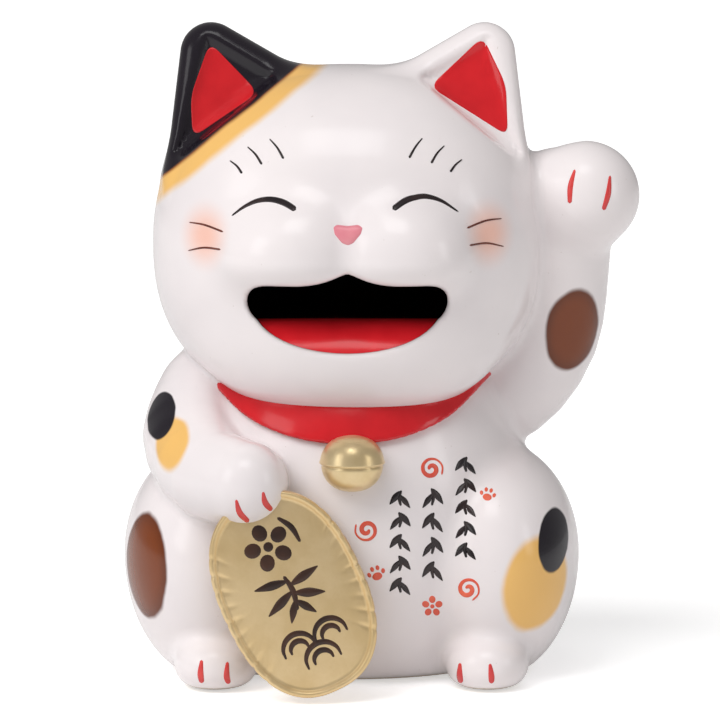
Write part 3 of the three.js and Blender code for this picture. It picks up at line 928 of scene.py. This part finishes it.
# inset from the outline and height over the front plane, from the face edge round to the back
KOBAN_RIM = [(1.9, -0.8), (1.7, -0.62), (1.4, -0.25), (1.1, -0.03), (0.75, 0.05), (0.4, -0.08),
             (0.15, -0.45), (0.0, -1.0), (0.0, -3.3), (0.2, -3.9), (0.7, -4.3), (9.0, -4.4),
             (9.2, -4.6), (9.2, -13.0)]
CRIMP = {"count": 9, "pitch": 4.3, "width": 0.5, "notch": 0.28, "fold": 0.5, "fold_from": 0.84}


def koban_axes():
    """Directions across the coin, along it and out of its face."""
    turn = np.array(Matrix.Rotation(math.radians(-KOBAN["lean"]), 3, "X")
                    @ Matrix.Rotation(math.radians(-KOBAN["tilt"]), 3, "Y"))
    return turn @ [1, 0, 0], turn @ [0, 0, 1], turn @ [0, -1, 0]


def koban_outline(inset, angles):
    c, s, power = np.cos(angles), np.sin(angles), KOBAN["power"]
    reach = (np.abs(c) ** power + np.abs(s) ** power) ** (-1 / power)
    return np.stack([c * reach * (KOBAN["across"] - inset), s * reach * (KOBAN["up"] - inset)], axis=-1)


def koban_face_height(drawn):
    """Height of the dished, slightly domed face over the front plane."""
    a = np.abs(drawn[:, 0]) / (KOBAN["across"] - KOBAN["rim"])
    b = np.abs(drawn[:, 1]) / (KOBAN["up"] - KOBAN["rim"])
    level = np.clip((a ** KOBAN["power"] + b ** KOBAN["power"]) ** (2 / KOBAN["power"]), 0, 1)
    return KOBAN["crown"] * (1 - level) - KOBAN["dish"]


def on_koban(drawn, height=None):
    across, along, out = koban_axes()
    rise = koban_face_height(drawn) if height is None else height
    front = KOBAN["half_thick"] + rise
    points = (np.array(KOBAN["centre"]) + drawn[:, :1] * across + drawn[:, 1:] * along
              + front[:, None] * out)
    return points, np.repeat(out[None], len(drawn), axis=0)


def build_koban():
    count = 288
    angles = np.arange(count) / count * 2 * math.pi
    edge = koban_outline(0, angles)
    crimp = np.zeros(count)
    for k in range(CRIMP["count"]):
        place = (k - (CRIMP["count"] - 1) / 2) * CRIMP["pitch"]
        depth = 0.7 + 0.3 * math.sin(2.1 * k)
        crimp += depth * np.exp(-((edge[:, 1] - place) / CRIMP["width"]) ** 2)
    rings, heights = [], []
    for share in (0.25, 0.5, 0.7, 0.84, 0.89, 0.93, 0.97):
        ring = koban_outline(KOBAN["rim"], angles) * share
        fold = CRIMP["fold"] * max(0, (share - CRIMP["fold_from"]) / (1 - CRIMP["fold_from"]))
        rings.append(ring)
        heights.append(koban_face_height(ring) - fold * crimp)
    for inset, height in KOBAN_RIM:
        notch = CRIMP["notch"] if height > -4 else 0
        fold = CRIMP["fold"] if height > -1 else 0
        rings.append(koban_outline(inset + notch * crimp[:, None], angles[:, None])[:, 0])
        heights.append(height - fold * crimp)
    drawn = np.vstack([[[0, 0]], *rings, [[0, 0]]])
    centre_height = KOBAN["crown"] - KOBAN["dish"]
    height = np.concatenate([
        [centre_height], *[np.broadcast_to(h, count) for h in heights], [KOBAN_RIM[-1][1]],
    ])
    points, _ = on_koban(drawn, height)
    faces = [(face[0], *face[:0:-1]) for face in ring_faces(count, len(rings))]
    return add_mesh("lustre_koban", to_metres(points), faces)


def koban_ornament():
    """Brush motifs down the coin: a plum blossom, bamboo leaves and rolling waves."""
    shapes = blossom((-0.6, 13.5), 6.4, 8)
    shapes.append(stroke([(4.6, 19.3, 0.8), (6.8, 15.6, 1.5), (7.3, 11.2, 0.7)]))
    shapes.append(stroke([(-0.2, 5.2, 0.8), (0.4, 0.8, 1.5), (-0.6, -4.2, 0.9)]))
    for start, end, width in (
        ((0.2, 3.6), (-8.6, 4.8), 2.3), ((0.4, 2.4), (8.8, 3.9), 2.4), ((0.2, 0.8), (-8.0, -2.6), 2.3),
        ((0.4, 0.2), (7.8, -2.8), 2.4), ((-0.2, -1.6), (-3.4, -6.6), 1.9), ((0, -1.6), (3.6, -6.6), 2.0),
    ):
        shapes.append(leaf(start, end, width))
    for x, z, size in ((-4.3, -13.6, 4.3), (4.5, -13.4, 4.3), (0.2, -18.4, 4.6)):
        for share in (1.0, 0.55):
            shapes.append(stroke([
                (*placed((x, z), size * share, 0, 190 - 200 * t), 0.5 + 1.0 * math.sin(math.pi * t))
                for t in np.linspace(0, 1, 7)
            ]))
    return shapes


def plug_profile():
    """Flange with a rolled edge and a ring groove, tapering plug, cup inside."""
    low, high = stopper_low[2], stopper_high[2]
    flange = (stopper_high[0] - stopper_low[0]) / 2
    return [
        (0, low + 0.5), (4, low + 0.5), (4.6, low), (11.2, low), (11.5, low + 0.35), (12.1, low + 0.35),
        (12.4, low), (flange - 0.9, low), (flange - 0.3, low + 0.15), (flange, low + 0.55),
        (flange, low + 0.95), (flange - 0.3, low + 1.35), (flange - 0.9, low + 1.5), (13.9, low + 1.5),
        (13.65, low + 1.8), (13.5, low + 3.4), (13.3, low + 3.6), (13.3, low + 3.9), (13.45, low + 4.1),
        (13.1, high - 0.5), (12.7, high), (10.2, high), (9.8, high - 0.4), (9.5, low + 4.2),
        (8.8, low + 3.4), (0, low + 3.3),
    ]


# ---------------------------------------------------------------- materials
class Graph:
    """A material's node tree with short ways to add and join nodes."""

    def __init__(self, name):
        self.material = bpy.data.materials.new(name)
        self.material.use_nodes = True
        self.tree = self.material.node_tree
        self.shader = self.tree.nodes["Principled BSDF"]
        self.position = self.add("ShaderNodeTexCoord").outputs["Object"]

    def add(self, kind, inputs=None, **settings):
        node = self.tree.nodes.new(kind)
        for key, value in settings.items():
            setattr(node, key, value)
        self.fill(node, inputs or {})
        return node

    def fill(self, node, inputs):
        """Sets the sockets of a node, each to a number or colour or to another node's output."""
        for key, value in inputs.items():
            if isinstance(value, bpy.types.NodeSocket):
                self.tree.links.new(value, node.inputs[key])
            else:
                node.inputs[key].default_value = value

    def surface(self, inputs):
        self.fill(self.shader, inputs)

    def noise(self, scale, detail=2.0, roughness=0.5):
        node = self.add("ShaderNodeTexNoise", {
            "Vector": self.position, "Scale": scale, "Detail": detail, "Roughness": roughness,
        })
        return node.outputs["Fac"]

    def math(self, operation, a, b=0.0):
        return self.add("ShaderNodeMath", {0: a, 1: b}, operation=operation).outputs[0]

    def ramp(self, value, low, high, start=0.0, end=1.0, smooth=True):
        node = self.add("ShaderNodeMapRange", {
            "Value": value, "From Min": low, "From Max": high, "To Min": start, "To Max": end,
        }, interpolation_type="SMOOTHSTEP" if smooth else "LINEAR")
        return node.outputs["Result"]

    def mix(self, share, a, b):
        a, b = ((*color, 1) if isinstance(color, tuple) else color for color in (a, b))
        node = self.add("ShaderNodeMix", data_type="RGBA")
        self.fill(node, {"Factor": share, "A": a, "B": b})
        return node.outputs["Result"]

    def bump(self, height, strength, distance):
        node = self.add("ShaderNodeBump", {"Height": height, "Strength": strength, "Distance": distance})
        self.surface({"Normal": node.outputs["Normal"]})

    def spot(self, centre, radii, tilt, edge, wobble=0.0):
        """1 inside an oval about centre, 0 outside, fading over edge of its radius."""
        place = self.add("ShaderNodeMapping", {
            "Vector": self.position,
            "Location": tuple(to_metres(centre)),
            "Rotation": (0, math.radians(-tilt), 0),
            "Scale": tuple(radius * MM for radius in radii),
        }, vector_type="TEXTURE")
        away = self.add("ShaderNodeVectorMath", {0: place.outputs[0]}, operation="LENGTH").outputs["Value"]
        if wobble:
            shift = self.math("MULTIPLY", self.math("SUBTRACT", self.noise(110), 0.5), wobble)
            away = self.math("ADD", away, shift)
        return self.ramp(away, 1 + edge / 2, 1 - edge / 2)


WHITE = (0.86, 0.80, 0.80)
WHITE_COOL = (0.80, 0.745, 0.752)
BLACK = (0.010, 0.007, 0.012)
ORANGE = (0.85, 0.50, 0.15)
BROWN = (0.17, 0.035, 0.010)

SPECK = (0.45, 0.36, 0.30)
BLUSH = (0.92, 0.42, 0.27)
BROWN_MIDDLE, BROWN_EDGE = (0.040, 0.008, 0.004), (0.19, 0.042, 0.008)
PATCH_EDGE = (0.35, 0.12, 0.03)
WIPED_FOOT = (0.60, 0.50, 0.40)
# near-black painted shade for the hollow inside, seen through the mouth
INSIDE_PAINTED_SHADE = (0.010, 0.006, 0.006)

# the black corner of the head round the right ear lies past a plane
PATCH_NORMAL = (-0.626, 0.008, 0.78)
PATCH_REACH = 132.8

BLUSH_CENTRES = ((-38.2, 114.1), (37.6, 114.7))
BLUSH_RADII = (4.6, 9, 5.7)
# spots: centre on the drawing sheet, radii, tilt, colour, softness
SPOTS = (
    (-47.3, 59.3, (5.2, 9, 8.0), 12, ORANGE, 0.30),
    (-50.2, 66.8, (4.6, 9, 9.6), 18, BLACK, 0.10),
    (-55.2, 25.8, (8.8, 13.0, 14.3), 0, BROWN, 0.12),
    (51.0, 20.9, (9.6, 16, 12.8), -8, ORANGE, 0.22),
    (55.2, 33.2, (4.9, 12, 8.6), -12, BLACK, 0.10),
    (60.2, 88.8, (7.4, 13, 11.2), -8, BROWN, 0.14),
)


def glaze_surface(graph, color, roughness=0.20):
    """Fired glaze: a glassy surface with a faint orange peel and cloudy gloss."""
    gloss = graph.ramp(graph.noise(70, 3), 0.3, 0.7, roughness, roughness + 0.06)
    graph.surface({
        "Base Color": color, "Roughness": gloss, "IOR": 1.42, "Coat Weight": 0.2, "Coat Roughness": 0.05,
    })
    graph.bump(graph.noise(420, 2), 0.05, 0.0004)


def painted_glaze():
    """White glaze with all the painted patches of the cat, and painted shade on its hollow inside."""
    g = Graph("painted_glaze")
    color = g.mix(g.ramp(g.noise(28, 3), 0.3, 0.75), WHITE, WHITE_COOL)
    speck = g.ramp(g.noise(900, 1), 0.79, 0.83)
    color = g.mix(g.math("MULTIPLY", speck, 0.35), color, SPECK)

    def surface(x, z):
        return on_skin([(x, z)])[0][0]

    for x, z in BLUSH_CENTRES:
        cheek = g.spot(surface(x, z), BLUSH_RADII, 0, 1.7)
        color = g.mix(g.math("MULTIPLY", cheek, 0.66), color, BLUSH)
    # millimetres past the edge of the black corner, which has an orange airbrushed border
    along = g.add("ShaderNodeVectorMath", {0: g.position, 1: PATCH_NORMAL}, operation="DOT_PRODUCT")
    edge = float(np.dot(PATCH_NORMAL, ORIGIN) + PATCH_REACH) * MM
    past = g.math("MULTIPLY", g.math("SUBTRACT", along.outputs["Value"], edge), 1 / MM)
    past = g.math("ADD", past, g.math("MULTIPLY", g.math("SUBTRACT", g.noise(55), 0.5), 1.6))
    for start, end, paint in ((-5.6, -3.2, ORANGE), (-0.9, 0.1, PATCH_EDGE), (-0.35, 0.35, BLACK)):
        color = g.mix(g.ramp(past, start, end), color, paint)
    for x, z, radii, tilt, paint, soft in SPOTS:
        centre = surface(x, z)
        if paint is BROWN:
            paint = g.mix(g.spot(centre, radii, tilt, 0.8), BROWN_MIDDLE, BROWN_EDGE)
        color = g.mix(g.spot(centre, radii, tilt, soft, 0.16), color, paint)
    # glaze is wiped off the foot, and the inside, deeper than the skin, is painted near black as shade
    height = g.add("ShaderNodeSeparateXYZ", {0: g.position}).outputs["Z"]
    color = g.mix(g.ramp(height, 1.6 * MM, 1.0 * MM), color, WIPED_FOOT)
    depth = g.add("ShaderNodeAttribute", attribute_name="under_skin").outputs["Fac"]
    color = g.mix(g.ramp(depth, 1.1, 1.9), color, INSIDE_PAINTED_SHADE)
    glaze_surface(g, color)
    return g.material


def brush_glaze(name, thin, thick, roughness=0.22):
    """Glaze colour laid on with a brush, thinner in places."""
    g = Graph(name)
    cloud = g.ramp(g.noise(150, 2, 0.5), 0.25, 0.75)
    glaze_surface(g, g.mix(cloud, thick, thin), roughness)
    return g.material


def gold_lustre(name, color, dark, roughness):
    """Gold lustre fired over clay, cloudy where it lies thin."""
    g = Graph(name)
    cloud = g.ramp(g.noise(90, 4, 0.6), 0.3, 0.7)
    fine = g.ramp(g.noise(1400, 2), 0.35, 0.65)
    tone = g.mix(cloud, dark, color)
    g.surface({
        "Base Color": g.mix(g.math("MULTIPLY", fine, 0.12), tone, dark),
        "Roughness": g.ramp(fine, 0, 1, roughness, roughness + 0.05),
        "Metallic": 0.7,
    })
    g.bump(g.noise(300, 2, 0.5), 0.06, 0.0005)
    return g.material


def bare_clay():
    g = Graph("bare_clay")
    grain = g.noise(900, 4, 0.7)
    color = g.mix(g.ramp(g.noise(40, 3), 0.35, 0.7), (0.58, 0.50, 0.41), (0.68, 0.61, 0.52))
    color = g.mix(g.ramp(grain, 0.66, 0.74), color, (0.34, 0.27, 0.20))
    g.surface({"Base Color": color, "Roughness": g.ramp(grain, 0.3, 0.7, 0.8, 0.95)})
    g.bump(grain, 0.35, 0.0006)
    return g.material


def rubber():
    g = Graph("rubber")
    grain = g.noise(1100, 3)
    color = g.mix(g.ramp(g.noise(60, 3), 0.3, 0.7), (0.035, 0.035, 0.037), (0.06, 0.06, 0.062))
    g.surface({"Base Color": color, "Roughness": g.ramp(grain, 0.3, 0.7, 0.55, 0.75)})
    g.bump(grain, 0.15, 0.0003)
    return g.material


def stage_paper():
    """White paper that glows for the camera more than it lights the figure."""
    g = Graph("stage_paper")
    seen = g.add("ShaderNodeLightPath").outputs["Is Camera Ray"]
    g.surface({
        "Base Color": g.mix(g.noise(3), (0.92, 0.92, 0.92), (0.93, 0.93, 0.93)),
        "Roughness": 0.9,
        "Specular IOR Level": 0.1,
        "Emission Color": (1, 1, 1, 1),
        "Emission Strength": g.ramp(seen, 0, 1, 0.10, 0.50, smooth=False),
    })
    return g.material


# ---------------------------------------------------------------- camera and light
WORLD_COLOR = (1.0, 0.985, 0.98, 1)
WORLD_STRENGTH = 0.28
SUN = {"place": (-0.75, -0.65, 1.2), "strength": 1.75, "angle": math.radians(40)}
# name, place, power, width and height, in metres and watts
SOFTBOXES = (
    ("softbox_front", (-0.04, -0.60, 1.17), 1.9, 0.48, 0.44),
    ("softbox_left", (-0.80, -0.62, 0.5), 1.3, 0.4, 0.6),
    ("softbox_right", (0.85, -0.45, 0.35), 0.7, 0.2, 0.5),
)
LIGHTS_AIM = (0, 0, 0.08)
STAGE_REACH = 60.0


def add_camera():
    data = bpy.data.cameras.new("camera")
    data.sensor_width = SENSOR
    data.lens = SENSOR * CAMERA_DISTANCE / FIELD_WIDTH
    data.clip_start = 0.05
    data.clip_end = 100
    camera = add_object("camera", data)
    camera.location = to_metres(VIEW_TARGET + TO_CAMERA * CAMERA_DISTANCE)
    camera.rotation_euler = Vector(-TO_CAMERA).to_track_quat("-Z", "Y").to_euler()
    bpy.context.scene.camera = camera


def add_light(name, kind, location, power, mirrored_in_glaze=True, **settings):
    data = bpy.data.lights.new(name, kind)
    data.energy = power
    for key, value in settings.items():
        setattr(data, key, value)
    light = add_object(name, data)
    light.location = location
    light.visible_glossy = mirrored_in_glaze
    aim = Vector(LIGHTS_AIM) - Vector(location)
    light.rotation_euler = aim.to_track_quat("-Z", "Y").to_euler()


def add_stage():
    reach = STAGE_REACH
    corners = [(-reach, -reach, 0), (reach, -reach, 0), (reach, reach, 0), (-reach, reach, 0)]
    floor = add_mesh("floor", corners, [(0, 1, 2, 3)], smooth=False)
    floor.data.materials.append(stage_paper())
    world = bpy.data.worlds.new("studio")
    world.use_nodes = True
    background = world.node_tree.nodes["Background"]
    background.inputs["Color"].default_value = WORLD_COLOR
    background.inputs["Strength"].default_value = WORLD_STRENGTH
    bpy.context.scene.world = world
    add_light("overhead", "SUN", SUN["place"], SUN["strength"], False, angle=SUN["angle"])
    for name, place, power, width, height in SOFTBOXES:
        add_light(name, "AREA", place, power, shape="RECTANGLE", size=width, size_y=height)
    bpy.context.scene.view_settings.view_transform = "Standard"


add_camera()
add_stage()

white = painted_glaze()
black_line = brush_glaze("black_brush", (0.028, 0.016, 0.016), (0.010, 0.007, 0.009))
red = brush_glaze("red_glaze", (0.66, 0.014, 0.020), (0.59, 0.011, 0.017), 0.14)
whisker_brown = brush_glaze("whisker_brush", (0.17, 0.04, 0.025), (0.09, 0.018, 0.012))
vermilion = brush_glaze("vermilion_brush", (0.80, 0.14, 0.07), (0.66, 0.07, 0.04))
claw_red = brush_glaze("claw_red", (0.72, 0.07, 0.06), (0.60, 0.04, 0.045))
pink = brush_glaze("nose_pink", (0.80, 0.31, 0.34), (0.73, 0.23, 0.28))
ink = brush_glaze("coin_ink", (0.055, 0.022, 0.012), (0.020, 0.009, 0.006), 0.35)
# a lighter copy of the red glaze for the slope inside the mouth: painted light against the shade there
jaw_red_lit = brush_glaze("jaw_glaze_painted_light", (0.88, 0.020, 0.030), (0.80, 0.016, 0.025), 0.12)
gold = gold_lustre("gold_lustre", (0.84, 0.64, 0.36), (0.75, 0.55, 0.28), 0.33)
bell_gold = gold_lustre("bell_gold", (0.82, 0.65, 0.38), (0.72, 0.55, 0.29), 0.30)


def present(piece, material, body="figure", node=None):
    piece.data.materials.append(material)
    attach(piece, body)
    if node:
        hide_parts(node)
    return piece


for node, casting in build_castings().items():
    present(casting, white, node=node)

present(build_jaw(), jaw_red_lit, node="jaw_tray")
collar = mesh_field("glazed_collar", collar_field, *COLLAR_BOX, COLLAR_STEP)
present(collar, red, node="collar")
bell = turned("lustre_bell", bell_profile(), BELL["centre"])
present(bell, bell_gold, node="bell")
present(build_koban(), gold, node="koban")
plug_centre = ((stopper_low + stopper_high) / 2 - ORIGIN) * [1, 1, 0]
plug = turned("rubber_plug", plug_profile(), plug_centre)
present(plug, rubber(), body="stopper", node="stopper")

for name, shapes, paint in (
    ("painted_eyes", [stroke(path) for path in EYES], black_line),
    ("painted_brows", [stroke(path) for path in BROWS], black_line),
    ("painted_whiskers", [stroke(path) for path in WHISKERS], whisker_brown),
    ("painted_claws", [stroke(path) for path in CLAWS], claw_red),
    ("raised_nose", [blob(rounded_outline(NOSE, 0.4, 3), 0.7)], pink),
    ("red_ear_hollows", [blob(rounded_outline(*row)) for row in EAR_REDS], red),
    ("belly_twigs", [shape for row in BELLY_TWIGS for shape in twig(*row)], black_line),
    ("belly_curls", [spiral(*row) for row in BELLY_SPIRALS], vermilion),
    ("belly_paw_prints", [shape for row in BELLY_PAWS for shape in paw_print(*row)], vermilion),
    ("belly_blossom", blossom(*BELLY_BLOSSOM), vermilion),
):
    present(lay_on(name, shapes, on_skin, LIFTS.get(name, LIFT)), paint)
present(lay_on("koban_brushwork", koban_ornament(), on_koban), ink)

clay = bare_clay()
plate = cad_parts["base_plate"]
plate.data.materials.clear()
plate.data.materials.append(clay)
